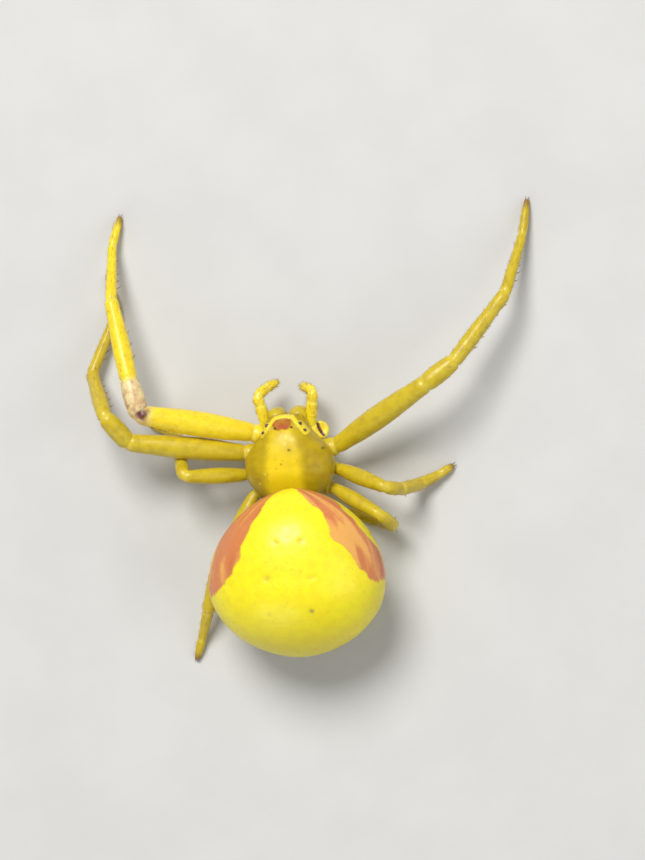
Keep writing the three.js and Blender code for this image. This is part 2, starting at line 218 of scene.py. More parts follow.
# Puts a number, a colour or another node's output into a socket.
def feed(tree, socket, value):
    if isinstance(value, bpy.types.NodeSocket):
        tree.links.new(value, socket)
    else:
        socket.default_value = (*value, 1) if isinstance(value, tuple) else value


def mixColour(tree, factor, a, b):
    node = addNode(tree, "ShaderNodeMix", {"data_type": "RGBA"})
    feed(tree, node.inputs[0], factor)
    feed(tree, node.inputs[6], a)
    feed(tree, node.inputs[7], b)
    return node.outputs[2]


def maths(tree, operation, a, b):
    node = addNode(tree, "ShaderNodeMath", {"operation": operation})
    feed(tree, node.inputs[0], a)
    feed(tree, node.inputs[1], b)
    return node.outputs[0]


def ramp(tree, value, low, high, a=0.0, b=1.0):
    node = addNode(tree, "ShaderNodeMapRange", {"interpolation_type": "SMOOTHSTEP"})
    tree.links.new(value, node.inputs["Value"])
    for key, number in (("From Min", low), ("From Max", high), ("To Min", a), ("To Max", b)):
        node.inputs[key].default_value = number
    return node.outputs[0]


# Mottling and fine relief of a waxy cuticle, at the scale of a small animal.
def cuticleGrain():
    group, given, made = nodeGroup(
        "cuticleGrain",
        [("Mottle Scale", "NodeSocketFloat", 1200), ("Grain Scale", "NodeSocketFloat", 9000)],
        [("Mottle", "NodeSocketFloat"), ("Grain", "NodeSocketFloat"), ("Pits", "NodeSocketFloat")],
    )
    where = group.nodes.new("ShaderNodeTexCoord")
    for output, kind, scaleName, settings in (
        ("Mottle", "ShaderNodeTexNoise", "Mottle Scale", {"Detail": 4}),
        ("Grain", "ShaderNodeTexNoise", "Grain Scale", {"Detail": 3}),
        ("Pits", "ShaderNodeTexVoronoi", "Grain Scale", {}),
    ):
        node = group.nodes.new(kind)
        for key, value in settings.items():
            node.inputs[key].default_value = value
        group.links.new(where.outputs["Object"], node.inputs["Vector"])
        group.links.new(given.outputs[scaleName], node.inputs["Scale"])
        group.links.new(node.outputs[0], made.inputs[output])
    return group


grainGroup = cuticleGrain()


def newMaterial(name, roughness, coat=0.0, scatter=0.0, scatterSize=0.0002, specular=0.5):
    material = bpy.data.materials.new(name)
    material.use_nodes = True
    tree = material.node_tree
    shader = tree.nodes["Principled BSDF"]
    shader.inputs["Roughness"].default_value = roughness
    shader.inputs["Coat Weight"].default_value = coat
    shader.inputs["Coat Roughness"].default_value = 0.25
    shader.inputs["Specular IOR Level"].default_value = specular
    shader.inputs["Subsurface Weight"].default_value = scatter
    shader.inputs["Subsurface Scale"].default_value = scatterSize
    shader.inputs["Subsurface Radius"].default_value = (1.0, 0.65, 0.15)
    return material, tree, shader


def grainOf(tree, mottleScale, grainScale):
    node = tree.nodes.new("ShaderNodeGroup")
    node.node_tree = grainGroup
    node.inputs["Mottle Scale"].default_value = mottleScale
    node.inputs["Grain Scale"].default_value = grainScale
    return node


def mark(tree, name):
    return addNode(tree, "ShaderNodeAttribute", {"attribute_name": name}).outputs["Fac"]


def relief(tree, shader, height, distance, strength):
    node = addNode(tree, "ShaderNodeBump", Strength=strength, Distance=distance)
    tree.links.new(height, node.inputs["Height"])
    tree.links.new(node.outputs[0], shader.inputs["Normal"])


def abdomenMaterial():
    # olive is the colour of the painted shade.
    lemon, deepYellow, olive = (0.96, 0.83, 0.006), (0.93, 0.76, 0.006), (0.46, 0.34, 0.01)
    apricot, salmon, brick = (0.84, 0.42, 0.10), (0.66, 0.215, 0.065), (0.50, 0.115, 0.04)
    pitTone = (0.3, 0.22, 0.05)
    material, tree, shader = newMaterial("abdomenSkin", 0.42, 0.12, 0.2, 0.0005)
    grain = grainOf(tree, 2600, 7000)
    yellow = mixColour(tree, ramp(tree, grain.outputs["Mottle"], 0.3, 0.72), lemon, deepYellow)
    # Painted shade: olive mixed in where the shade mark is high.
    yellow = mixColour(tree, maths(tree, "MULTIPLY", mark(tree, "shade"), 0.8), yellow, olive)
    streak = mark(tree, "streak")
    red = mixColour(tree, ramp(tree, streak, 0.1, 0.5), apricot, salmon)
    red = mixColour(tree, ramp(tree, streak, 0.55, 0.95, 0.0, 0.8), red, brick)
    band = mark(tree, "band")
    edge = maths(tree, "MULTIPLY", ramp(tree, band, 0.05, 0.5), ramp(tree, band, 1.0, 0.75))
    red = mixColour(tree, maths(tree, "MULTIPLY", edge, 0.35), red, brick)
    skin = mixColour(tree, band, yellow, red)
    skin = mixColour(tree, maths(tree, "MULTIPLY", mark(tree, "dimple"), 0.8), skin, pitTone)
    tree.links.new(skin, shader.inputs["Base Color"])
    tree.links.new(ramp(tree, grain.outputs["Grain"], 0.3, 0.7, 0.36, 0.5), shader.inputs["Roughness"])
    height = maths(tree, "ADD", maths(tree, "MULTIPLY", grain.outputs["Pits"], 0.6), grain.outputs["Grain"])
    relief(tree, shader, height, 0.000012, 0.5)
    return material


# Legs, palps and jaws: joints are paler, tips browner, and stains come from the marks.
def cuticleMaterial(name, main, deep, pale):
    cream, tan = (0.80, 0.66, 0.36), (0.58, 0.36, 0.19)
    tipBrown, scarRed = (0.20, 0.085, 0.02), (0.11, 0.016, 0.014)
    material, tree, shader = newMaterial(name, 0.4, 0.1, 0.3, 0.0004)
    grain = grainOf(tree, 3200, 11000)
    mottle = grain.outputs["Mottle"]
    skin = mixColour(tree, ramp(tree, mottle, 0.35, 0.8), main, deep)
    skin = mixColour(tree, maths(tree, "MULTIPLY", mark(tree, "joint"), 0.5), skin, pale)
    scarred = mixColour(tree, ramp(tree, mottle, 0.4, 0.68), cream, tan)
    skin = mixColour(tree, mark(tree, "pale"), skin, scarred)
    skin = mixColour(tree, mark(tree, "tip"), skin, tipBrown)
    skin = mixColour(tree, mark(tree, "stain"), skin, scarRed)
    tree.links.new(skin, shader.inputs["Base Color"])
    tree.links.new(ramp(tree, grain.outputs["Grain"], 0.3, 0.7, 0.34, 0.48), shader.inputs["Roughness"])
    relief(tree, shader, maths(tree, "ADD", grain.outputs["Grain"], grain.outputs["Pits"]), 0.000008, 0.45)
    return material


def shellMaterial():
    olive, gold, lemon = (0.40, 0.27, 0.004), (0.52, 0.365, 0.005), (0.84, 0.62, 0.01)
    paleRim, ridgeYellow = (0.80, 0.64, 0.10), (0.97, 0.74, 0.04)
    blushRed, speckBrown = (0.44, 0.10, 0.022), (0.12, 0.055, 0.015)
    material, tree, shader = newMaterial("carapaceShell", 0.4, 0.04, 0.3, 0.0005, 0.3)
    grain = grainOf(tree, 2200, 12000)
    side = mixColour(tree, ramp(tree, grain.outputs["Mottle"], 0.3, 0.75), gold, olive)
    skin = mixColour(tree, mark(tree, "median"), side, lemon)
    skin = mixColour(tree, mark(tree, "rim"), skin, paleRim)
    skin = mixColour(tree, mark(tree, "ridge"), skin, ridgeYellow)
    skin = mixColour(tree, mark(tree, "blush"), skin, blushRed)
    skin = mixColour(tree, mark(tree, "speck"), skin, speckBrown)
    tree.links.new(skin, shader.inputs["Base Color"])
    tree.links.new(ramp(tree, grain.outputs["Grain"], 0.3, 0.7, 0.32, 0.46), shader.inputs["Roughness"])
    relief(tree, shader, maths(tree, "ADD", grain.outputs["Grain"], grain.outputs["Pits"]), 0.000008, 0.4)
    return material


def plainCuticle(name, colour, shade, roughness, coat=0.0):
    material, tree, shader = newMaterial(name, roughness, coat)
    grain = grainOf(tree, 4000, 20000)
    tone = mixColour(tree, ramp(tree, grain.outputs["Mottle"], 0.35, 0.65), colour, shade)
    tree.links.new(tone, shader.inputs["Base Color"])
    relief(tree, shader, grain.outputs["Grain"], 0.000003, 0.3)
    return material


skins = {
    "abdomen": abdomenMaterial(),
    # The next two are shaded and lit copies of one leg skin. The darker one is partly the legs' own colour and
    # partly painted shade. The lighter one is painted light, and it goes on the left first leg, the palps and
    # the stump.
    "legs": cuticleMaterial("limbSkin", (0.62, 0.47, 0.012), (0.50, 0.365, 0.01), (0.78, 0.63, 0.07)),
    "paintedLitLegs": cuticleMaterial(
        "limbSkinPaintedLit", (0.90, 0.70, 0.016), (0.80, 0.58, 0.012), (0.92, 0.78, 0.12)
    ),
    "shell": shellMaterial(),
    "dark": plainCuticle("fangCuticle", (0.12, 0.035, 0.012), (0.05, 0.015, 0.008), 0.22, 0.5),
    "eye": plainCuticle("eyeLens", (0.05, 0.022, 0.008), (0.09, 0.04, 0.012), 0.12, 0.7),
    "hair": plainCuticle("fineHair", (0.62, 0.42, 0.06), (0.34, 0.2, 0.03), 0.4),
    "spine": plainCuticle("spineCuticle", (0.55, 0.33, 0.04), (0.3, 0.15, 0.02), 0.3, 0.3),
}
print("materials made")


# Edges of the red bands: share of the length, and degrees above the flank, for each side.
bands = {
    "left": {
        "inner": [
            (0, 28), (0.02, 40), (0.05, 50), (0.09, 55), (0.2, 57), (0.35, 56), (0.45, 51), (0.52, 44),
            (0.6, 24),
        ],
        "outer": [(0, 2), (0.2, 4), (0.3, 12), (0.4, 16), (0.5, 14), (0.6, 12)],
        "end": 0.59,
    },
    "right": {
        "inner": [
            (0, 50), (0.02, 62), (0.06, 60), (0.14, 53), (0.31, 52), (0.38, 44), (0.46, 39), (0.56, 28),
            (0.6, 20),
        ],
        "outer": [(0, 2), (0.07, 4), (0.15, 18), (0.25, 17), (0.33, 12), (0.4, 2), (0.5, -3), (0.6, -4)],
        "end": 0.57,
    },
}
bandEdge = {"ragged": 3.2, "fine": 1.6, "teeth": 0.035, "fineTeeth": 0.012}
# Muscle pits on the back: share of the length, degrees round from the left flank, size, how brown.
pits = [
    (0.116, 92, 0.9, 0.28), (0.298, 82.5, 0.8, 0.4), (0.298, 102, 0.75, 0.45), (0.505, 78, 1.3, 0.45),
    (0.515, 106.5, 1.25, 0.28), (0.711, 75.5, 0.8, 0.25), (0.711, 106, 0.75, 1.0),
]
# Shares of the body's own radius, except the pits' width, which is in millimetres.
abdomenRelief = {
    "folds": 0.006, "fineFolds": 0.0016, "ripple": 0.0022, "ripples": 95, "pit": 0.014, "pitWidth": 0.1,
    "inside": 0.006,
}
abdomenHair = {"count": 900, "length": (0.06, 0.12), "radius": 0.0045, "bend": (0, 0.2, -0.15)}


def abdomenPoint(t, across, up, lift=0.0):
    f = abdomenForm
    full = fullness(t, f["widestAt"], 0.6 if t < f["widestAt"] else 0.55)
    middle = blend(f["frontHeight"], f["middleHeight"], smooth(0, f["widestAt"], t))
    middle = blend(middle, f["rearHeight"], smooth(f["widestAt"], 1, t))
    below = fullness(t, f["widestAt"], 0.8 if t < f["widestAt"] else 0.6)
    high = f["rise"] * full if up > 0 else f["drop"] * below
    scale = 1 + lift
    return Vector((
        f["shift"] + f["lean"] * (1 - smooth(0, 0.5, t)) + full * f["width"] * across / 2 * scale,
        f["front"] + f["length"] * t,
        middle + up * high * scale,
    ))


def bandMark(t, across, up):
    angle = math.degrees(math.atan2(up, across))
    side, seed = ("left", 2) if across > 0 else ("right", 5)
    above = angle if across > 0 else 180 - angle
    if above > 180:
        above -= 360
    edge = bands[side]
    ragged = grainy((above * 0.1, t * 14, 0), 1.0, seed) * bandEdge["ragged"]
    ragged += grainy((above * 0.3, t * 40, 0), 1.0, 8) * bandEdge["fine"]
    inner, outer = curveAt(edge["inner"], t), curveAt(edge["outer"], t)
    inside = smooth(-1.2, 1.2, inner + ragged - above) * smooth(-1.6, 1.6, above - outer - ragged)
    teeth = grainy((above * 0.28, 0, 0), 1.0, 3) * bandEdge["teeth"]
    teeth += grainy((above * 0.9, 0, 0), 1.0, 4) * bandEdge["fineTeeth"]
    return inside * smooth(0.008, -0.008, t - edge["end"] - teeth)


# How deep the skin is drawn in at a point by the pits near it, and how brown.
def pitMarks(point):
    dimple, brown = 0.0, 0.0
    for t, angle, size, tone in pits:
        a = math.radians(angle)
        away = (point - abdomenPoint(t, math.cos(a), math.sin(a))).length
        near = bump(away * (1 + 0.6 * grainy(point, 5, 14)), abdomenRelief["pitWidth"] * math.sqrt(size))
        dimple, brown = max(dimple, size * near), max(brown, tone * near)
    return dimple, brown


# Painted shade: olive toward the rear, the underside and the flanks, where the body turns away from the light,
# with a little random variation.
def paintedShadeMark(t, up, point):
    rear = (0.75 * smooth(0.62, 1, t)) ** 2
    under = 0.65 * smooth(0.25, -0.5, up)
    flank = 0.35 * smooth(0.75, 0.1, up)
    return min(1, max(rear, under, flank) + 0.06 * grainy(point, 0.7, 6))


# Lengthwise streaks in the bands, and a paler stretch in the middle of the right one.
def streakMark(t, across, up, point):
    angle = math.degrees(math.atan2(up, across))
    lines = grainy((angle * 0.1, t * 3.5, 0), 1.0, 11) * 0.7 + grainy((angle * 0.3, t * 8, 0), 1.0, 12) * 0.2
    paler = 0.55 * bump(t - 0.3, 0.12) * smooth(20, 40, 180 - angle) if across < 0 else 0
    return 0.52 + lines + 0.1 * grainy(point, 6, 13) - paler


def buildAbdomen():
    around, along = ((300, 220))
    marks = {"band": [], "shade": [], "streak": [], "dimple": []}
    r = abdomenRelief

    def shape(t, across, up):
        point = abdomenPoint(t, across, up)
        dimple, brown = pitMarks(point)
        folds = grainy(point, 1.1, 1) * r["folds"] + grainy(point, 3.5, 2) * r["fineFolds"]
        ripple = r["ripple"] * math.sin(t * r["ripples"]) * smooth(0.1, -0.6, up) * smooth(1, 0.85, t)
        marks["band"].append(bandMark(t, across, up))
        # The shade mark is painted shade.
        marks["shade"].append(paintedShadeMark(t, up, point))
        marks["streak"].append(streakMark(t, across, up, point))
        marks["dimple"].append(min(1, brown))
        return abdomenPoint(t, across, up, folds + ripple - r["pit"] * min(1, dimple) - r["inside"])

    verts, faces = moulded(around, along, shape)
    piece = makePiece("abdomen_skin", verts, faces, skins["abdomen"], marks)
    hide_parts("abdomen")


def buildAbdomenHairs():
    hairs = Hairs()
    rng = random.Random(4)
    for _ in range(abdomenHair["count"]):
        t, a = rng.uniform(0.03, 0.97), rng.uniform(-math.pi, math.pi)
        root = abdomenPoint(t, math.cos(a), math.sin(a), -0.006)
        out = (root - abdomenPoint(t, 0, 0)).normalized()
        stray = Vector([rng.uniform(-0.2, 0.2) for _ in range(3)])
        way = (out * 0.75 + Vector((0, 0.8, 0)) + stray).normalized()
        uv = (0.5 + a / (2 * math.pi), t)
        length = rng.uniform(*abdomenHair["length"])
        hairs.add(root, way, length, abdomenHair["radius"], uv, Vector(abdomenHair["bend"]))
    hairs.finish("abdomen_hairs", skins["hair"])
    print("abdomen made")


buildAbdomen()
buildAbdomenHairs()


carapaceForm = {
    "front": -3.38, "length": 3.43, "width": 3.42, "frontWidth": 1.9, "margin": 1.85, "height": 1.2,
    "rim": 0.12,
}
browHalf = [(0.62, -2.88), (0.47, -3.08), (0.34, -3.25)]
swelling = [(0.84, -2.66), (0.6, -2.98)]


def mirrored(path):
    return [(-x, y) for x, y in path]


browRidge = browHalf + [(0, -3.31)] + mirrored(browHalf)[::-1]
swellings = [swelling, mirrored(swelling)]
blushPatch = {"middle": (0.06, -3.0), "half": (0.35, 0.21)}
specks = [
    (0.82, -2.7, 0.11), (-0.82, -2.7, 0.06), (-0.2, -2.01, 0.045), (-1.42, -1.99, 0.05), (0.12, -1.5, 0.03),
]
paleDots = [(0.79, -1.17, 0.045), (1.06, -0.82, 0.04), (-0.35, -2.4, 0.09), (-0.05, -2.25, 0.1)]
# Shallow furrows run out from the middle of the back: where each starts, its length, and degrees ahead.
furrows = {
    "rays": [(0.35, 1.15, 24), (0.3, 1.3, -4), (0.3, 1.2, -34)],
    "middle": -1.35, "width": 0.16, "depth": 0.014,
}
medianHalf = [(-3.2, 0.42), (-2.5, 0.5), (-1.9, 0.62), (-1.2, 0.7), (-0.4, 0.66)]
medianMiddle = [(-3.2, 0.05), (-0.8, 0.1)]
shellMarkNames = ("median", "rim", "ridge", "blush", "speck")
shellRelief = {"brow": 0.07, "swelling": 0.08, "wobble": 0.006, "blush": 0.03, "inside": 0.008}
shellHair = {"count": 70, "radius": 0.007, "length": (0.08, 0.16), "browLength": (0.16, 0.3), "brow": 0.15}


def carapacePoint(t, across, up, lift=0.0):
    f = carapaceForm
    side = blend(
        fullness(t, 0.58, 0.5) * f["width"], fullness(t, 0.5, 0.16) * f["frontWidth"], 1 - smooth(0.04, 0.5, t)
    )
    slope = (1 - 0.3 * smooth(0.62, 1, t)) * (0.86 + 0.14 * smooth(0, 0.3, t))
    top = f["height"] * fullness(t, 0.5, 0.24) * slope
    high = f["rim"] + top * up**0.82 if up > 1e-6 else 0
    return Vector((
        side * signedPower(across, 0.8) / 2,
        f["front"] + f["length"] * t,
        f["margin"] + high + lift,
    ))


def pathDistance(points, x, y):
    best = 9.0
    for (ax, ay), (bx, by) in zip(points, points[1:]):
        dx, dy = bx - ax, by - ay
        t = min(1, max(0, ((x - ax) * dx + (y - ay) * dy) / (dx * dx + dy * dy)))
        best = min(best, math.hypot(x - ax - dx * t, y - ay - dy * t))
    return best


def spotMark(p, spots):
    return max(bump(math.hypot(p.x - x, p.y - y), size) for x, y, size in spots)


# The yellow stripe down the middle, duller on the head.
def medianMark(p, wobble):
    half, centre = curveAt(medianHalf, p.y), curveAt(medianMiddle, p.y)
    stripe = smooth(0.2, -0.2, abs(p.x - centre) - half + 0.12 * wobble) * smooth(-3.1, -2.7, p.y)
    stripe *= 0.62 + 0.38 * smooth(-2.5, -1.6, p.y) + 0.25 * grainy(p, 3, 7)
    return min(1, max(0, stripe))


def furrowMark(p):
    deepest = 0.0
    for direction in (-1, 1):
        for start, length, turn in furrows["rays"]:
            a = math.radians(turn)
            far = (direction * (start + length * math.cos(a)), furrows["middle"] - length * math.sin(a))
            line = [(direction * start, furrows["middle"]), far]
            deepest = max(deepest, bump(pathDistance(line, p.x, p.y), furrows["width"]))
    return deepest


def blushMark(p):
    aside, ahead = ((a - b) / h for a, b, h in zip(p, blushPatch["middle"], blushPatch["half"]))
    return smooth(1.3, 0.7, abs(aside) ** 2.6 + abs(ahead) ** 2.6 + 0.5 * grainy(p, 7, 6))


def buildShell():
    around, along = ((300, 210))
    marks = {name: [] for name in shellMarkNames}
    r = shellRelief

    def shape(t, across, up):
        p = carapacePoint(t, across, up)
        upper = 1 if up > 0 else 0
        brow = bump(pathDistance(browRidge, p.x, p.y), 0.08) * upper
        raised = max(bump(pathDistance(path, p.x, p.y), 0.12) for path in swellings) * upper
        ridge = max(brow, raised)
        wobble = grainy(p, 1.6, 3)
        furrow = furrowMark(p) * smooth(0.15, 0.6, up)
        blush = blushMark(p) * upper
        lift = r["brow"] * brow + r["swelling"] * raised
        lift += upper * (r["wobble"] * wobble - furrows["depth"] * furrow)
        lift -= r["blush"] * blush + r["inside"]
        marks["median"].append(medianMark(p, wobble))
        marks["rim"].append(min(1, 0.7 * smooth(0.09, 0.02, up) * upper + 0.8 * spotMark(p, paleDots) * upper))
        marks["ridge"].append(0.9 * smooth(0.15, 0.7, ridge))
        marks["blush"].append(blush * (0.85 + 0.5 * grainy(p, 5, 8)) * (1 - smooth(0.25, 0.7, ridge)))
        marks["speck"].append(min(0.85, spotMark(p, specks) * upper * 1.1) * (1 - 0.7 * raised))
        return carapacePoint(t, across, up, lift)

    verts, faces = moulded(around, along, shape)
    piece = makePiece("carapace_skin", verts, faces, skins["shell"], marks)
    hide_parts("carapace")


def buildShellHairs():
    hairs = Hairs()
    rng = random.Random(9)
    for _ in range(shellHair["count"]):
        t, a = rng.uniform(0.02, 0.85), rng.uniform(0.15, math.pi - 0.15)
        root = carapacePoint(t, math.cos(a), math.sin(a), -0.01)
        way = Vector((rng.uniform(-0.5, 0.5), -0.55 - 0.3 * (1 - t), 0.8)).normalized()
        length = rng.uniform(*shellHair["length" if t > shellHair["brow"] else "browLength"])
        hairs.add(root, way, length, shellHair["radius"], (a / math.pi, t), Vector((0, -0.25, -0.1)))
    hairs.finish("carapace_hairs", skins["hair"])


buildShell()
buildShellHairs()


sternumForm = {"middle": -1.5, "length": 2.5, "width": 1.5, "bottom": 0.95}
labium = {"start": (-0.8, 0.22), "end": (-1.55, 0.16), "radius": 0.25, "flatten": 0.7}


def sternumPoint(t, across, up):
    f = sternumForm
    height = carapaceForm["margin"] - 0.1 - f["bottom"]
    side = fullness(t, 0.38, 0.42) * f["width"]
    return Vector((
        side * signedPower(across, 0.7) / 2,
        f["middle"] + f["length"] * (t - 0.5),
        f["bottom"] + height * (0.5 + signedPower(up, 0.6) / 2),
    ))


def shellMarks(verts):
    plain = {name: [0.0] * len(verts) for name in shellMarkNames}
    plain["median"] = [0.25 + 0.3 * grainy(v, 1.2, 4) for v in verts]
    return plain


def buildSternum():
    verts, faces = moulded(96, 64, sternumPoint)
    piece = makePiece("sternum_skin", verts, faces, skins["shell"], shellMarks(verts))
    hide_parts("sternum")


# The small lip in front of the sternum.
def buildLabium():
    start, end = (
        Vector((0, sternumForm["middle"] + ahead, sternumForm["bottom"] + rise))
        for ahead, rise in (labium["start"], labium["end"])
    )
    shares = steps(15)
    centres = [start.lerp(end, share) for share in shares]
    radii = [labium["radius"] * fullness(0.3 + 0.69 * share, 0.4, 0.4) + 0.02 for share in shares]
    verts, faces, _ = sweep(centres, radii, 24, [labium["flatten"]] * len(shares))
    makePiece("labium_skin", verts, faces, skins["shell"], shellMarks(verts))
    print("carapace and sternum made")


buildSternum()
buildLabium()


# Marks of a limb's skin. Joint, tip and pale have one value for each ring, and stain one for each vertex.
def limbMarks(verts, ringOf, joint=None, tip=None, stain=None, pale=None):
    def spread(values):
        return [float(values[r]) for r in ringOf] if values is not None else [0.0] * len(verts)

    stain = stain or [0.0] * len(verts)
    return {"joint": spread(joint), "tip": spread(tip), "stain": stain, "pale": spread(pale)}


def limbPiece(name, swept, skin="legs", **limbValues):
    verts, faces, ringOf = swept
    return makePiece(name, verts, faces, skins[skin], limbMarks(verts, ringOf, **limbValues))


# Centres and radii along a jointed limb: corners are rounded, and each joint is drawn in. Girths holds, for
# each piece between two joints, radii spaced evenly along it.
def walk(points, girths, step=0.06, tuck=0.1, reach=0.3):
    centres, radii, joint, pieceOf = [], [], [], []
    points = [Vector(p) for p in points]
    last = len(points) - 2
    for i, (a, b, own) in enumerate(zip(points, points[1:], girths)):
        length = (b - a).length
        count = max(4, round(length / step))
        stations = list(zip(steps(len(own)), own))
        for k in range(count if i < last else count + 1):
            t = k / count
            s = length * k / count
            firstHalf = s < length / 2
            gap = min(s, length - s)
            hasJoint = i > 0 if firstHalf else i < last
            centre = a.lerp(b, t)
            if hasJoint and gap < reach:
                near, far, other = (a, b, points[i - 1]) if firstHalf else (b, a, points[i + 2])
                inward = (other - near).normalized() + (far - near).normalized()
                centre = centre + inward * ((1 - gap / reach) ** 2 * 0.25 * reach)
            crease = bump(gap, 0.055) if hasJoint else 0
            swell = bump(gap - 0.2, 0.13) if hasJoint else 0
            radius = curveAt(stations, smooth(0, 1, t) * 0.35 + t * 0.65)
            centres.append(centre)
            radii.append(radius * (1 - tuck * crease + 0.03 * swell))
            joint.append(bump(gap, 0.1) if hasJoint else 0)
            pieceOf.append((i, t))
    return centres, radii, joint, pieceOf


# For each pair: where it joins the body, radii of coxa, femur and tibia, and lengths from the femur out.
pairs = [
    {"root": (1.42, -2.78), "girths": (0.37, 0.49, 0.48), "lengths": [4.45, 1.42, 3.3, 2.6, 1.25]},
    {"root": (1.8, -2.02), "girths": (0.37, 0.45, 0.4), "lengths": [4.48, 1.38, 3.3, 2.65, 1.4]},
    {"root": (1.74, -1.18), "girths": (0.31, 0.31, 0.31), "lengths": [2.55, 0.92, 1.6, 0.88, 0.6]},
    {"root": (1.5, -0.46), "girths": (0.31, 0.3, 0.3), "lengths": [2.5, 0.95, 1.7, 1.35, 0.85]},
]
# For each piece from the femur out: heading from straight ahead out to the side, and slope, in degrees.
pose = {
    "left_1": [(76, 20), (13, -6), (12, -16), (3, None), (-15, -20)],
    "left_2": [(80, 16), (34, 24), (30, -53), (-25, None), (13, -8)],
    "left_3": [(87, 28), (22, -50), (16, -52), (60, None), (70, -10)],
    "left_4": [(149, 4), (147, -12), (161, -18), (157, None), (159, -12)],
    "right_2": [(61, 18), (56, -6), (40, -17), (18, None), (10, -18)],
    "right_3": [(113, 32), (106, -58), (78, -69), (68, None), (60, -16)],
    "right_4": [(121, 28), (140, -50), (280, -66), (290, None), (280, -8)],
}
stance = {"trochanter": 1.52, "foot": 0.12, "coxa": 1.34}
# Radii along each piece of a leg: as shares of the pair's own down to the tibia, then in millimetres.
legForm = {
    "coxa": [0.9, 1.04, 1, 0.94],
    "femur": [0.7, 0.92, 1, 0.98, 0.88, 0.74],
    "patella": [0.74, 0.84, 0.82, 0.68],
    "tibia": [0.68, 0.76, 0.72, 0.64, 0.54],
    "thinnestTibia": 0.25,
    "metatarsus": [0.22, 0.205, 0.185, 0.17],
    "tarsus": [0.165, 0.165, 0.15, 0.1],
}
legHair = {"front": 700, "rear": 320, "longest": 0.16, "radius": 0.0055}
spine = {"first": 0.16, "span": 0.72, "length": 0.4, "radius": 0.034, "splay": 40}
claw = {"aside": 0.035, "length": 0.16, "radius": 0.02, "hook": (0, 0, -0.75)}


def rootOf(side, pair):
    return Vector((side * pair["root"][0], pair["root"][1], stance["trochanter"]))


def coxaStart(side, pair):
    middle = sternumForm["middle"]
    return Vector((side * pair["root"][0] * 0.3, blend(middle, pair["root"][1], 0.7), stance["coxa"]))


def legJoints(side, pair, angles):
    fall = stance["trochanter"] - stance["foot"]
    for length, (_, slope) in zip(pair["lengths"], angles):
        if slope is not None:
            fall += length * math.sin(math.radians(slope))
    joints = [rootOf(side, pair)]
    for length, (turn, slope) in zip(pair["lengths"], angles):
        e = math.asin(-fall / length) if slope is None else math.radians(slope)
        a = math.radians(turn)
        way = Vector((side * math.sin(a) * math.cos(e), -math.cos(a) * math.cos(e), math.sin(e)))
        joints.append(joints[-1] + way * length)
    return joints


def legGirths(pair):
    def scaled(part, girth):
        return [girth * share for share in legForm[part]]

    coxa, femur, tibia = pair["girths"]
    return [
        scaled("coxa", coxa),
        scaled("femur", femur),
        scaled("patella", femur),
        [max(legForm["thinnestTibia"], girth) for girth in scaled("tibia", tibia)],
        legForm["metatarsus"],
        legForm["tarsus"],
    ]


# Lifts each centre so that its ring stays above the ground.
def groundSkin(centres, radii):
    return [Vector((c.x, c.y, max(c.z, r * 0.98))) for c, r in zip(centres, radii)]


def legHairs(hairs, centres, radii, pieceOf, rng, count, longest):
    total = len(centres)
    for _ in range(count):
        k = min(total - 2, int(total * (0.14 + 0.84 * rng.random() ** 0.8)))
        way = (centres[k + 1] - centres[k - 1]).normalized()
        side = way.cross(Vector((0, 0, 1)))
        if side.length < 0.2:
            side = way.cross(Vector((0, 1, 0)))
        side.normalize()
        other = way.cross(side)
        a = rng.uniform(0, 2 * math.pi)
        out = side * math.cos(a) + other * math.sin(a)
        lean = (out * 0.6 + way * 0.9 + Vector([rng.uniform(-0.15, 0.15) for _ in range(3)])).normalized()
        length = longest * rng.uniform(0.5, 1) * (1.15 if pieceOf[k][0] >= 3 else 0.8)
        root = centres[k] + out * radii[k] * 0.97
        if root.z + lean.z * length < 0.02:  # it would reach the ground
            continue
        hairs.add(root, lean, length, legHair["radius"], (k / total, a / (2 * math.pi)), way * 0.25)


# Two rows of stout spines below a tibia or a metatarsus.
def legSpines(hairs, start, end, radius, rng, count):
    along = (end - start).normalized()
    across = along.cross(Vector((0, 0, 1))).normalized()
    down = along.cross(across)
    if down.z > 0:
        down = -down
    length = (end - start).length
    splay = math.radians(spine["splay"])
    for i in range(count):
        for row in (-1, 1):
            t = spine["first"] + spine["span"] * (i + 0.22 * (row + 1)) / (count - 0.5)
            out = down * math.cos(splay) + across * row * math.sin(splay)
            way = (out * 0.78 + along * 0.62).normalized()
            size = spine["length"] * (1 - 0.1 * i) * rng.uniform(0.85, 1.1)
            root = start + along * length * t + out * radius * 0.82
            if root.z + way.z * size < 0.03:  # shortened to stay clear of the ground
                size = max(0.08, (root.z - 0.03) / max(0.05, -way.z))
            hairs.add(root, way, size, spine["radius"], (t, 0.5 + 0.1 * row), along * 0.2, 6, 5)


# Two small hooked claws at the tip of a foot.
def claws(hairs, tip, way):
    level = Vector((way.x, way.y, 0)).normalized()
    side = Vector((-level.y, level.x, 0))
    for row in (-1, 1):
        root = tip + side * row * claw["aside"] + Vector((0, 0, 0.02))
        out = (level * 0.9 + side * row * 0.2 + Vector((0, 0, 0.2))).normalized()
        uv = (0.97, 0.5 + 0.1 * row)
        hairs.add(root, out, claw["length"], claw["radius"], uv, Vector(claw["hook"]), 6, 6)


# The dark scar on the knee of the left first leg, and smudges round it: offset from the joint, size, depth.
kneeStains = [
    ((-0.2, 0.0, 0.33), 0.26, 0.97), ((-0.42, -0.14, 0.33), 0.17, 0.7), ((0.28, 0.03, 0.3), 0.1, 0.5),
    ((0.3, -0.35, 0.25), 0.08, 0.5), ((0.05, -0.2, 0.33), 0.14, 0.25),
]


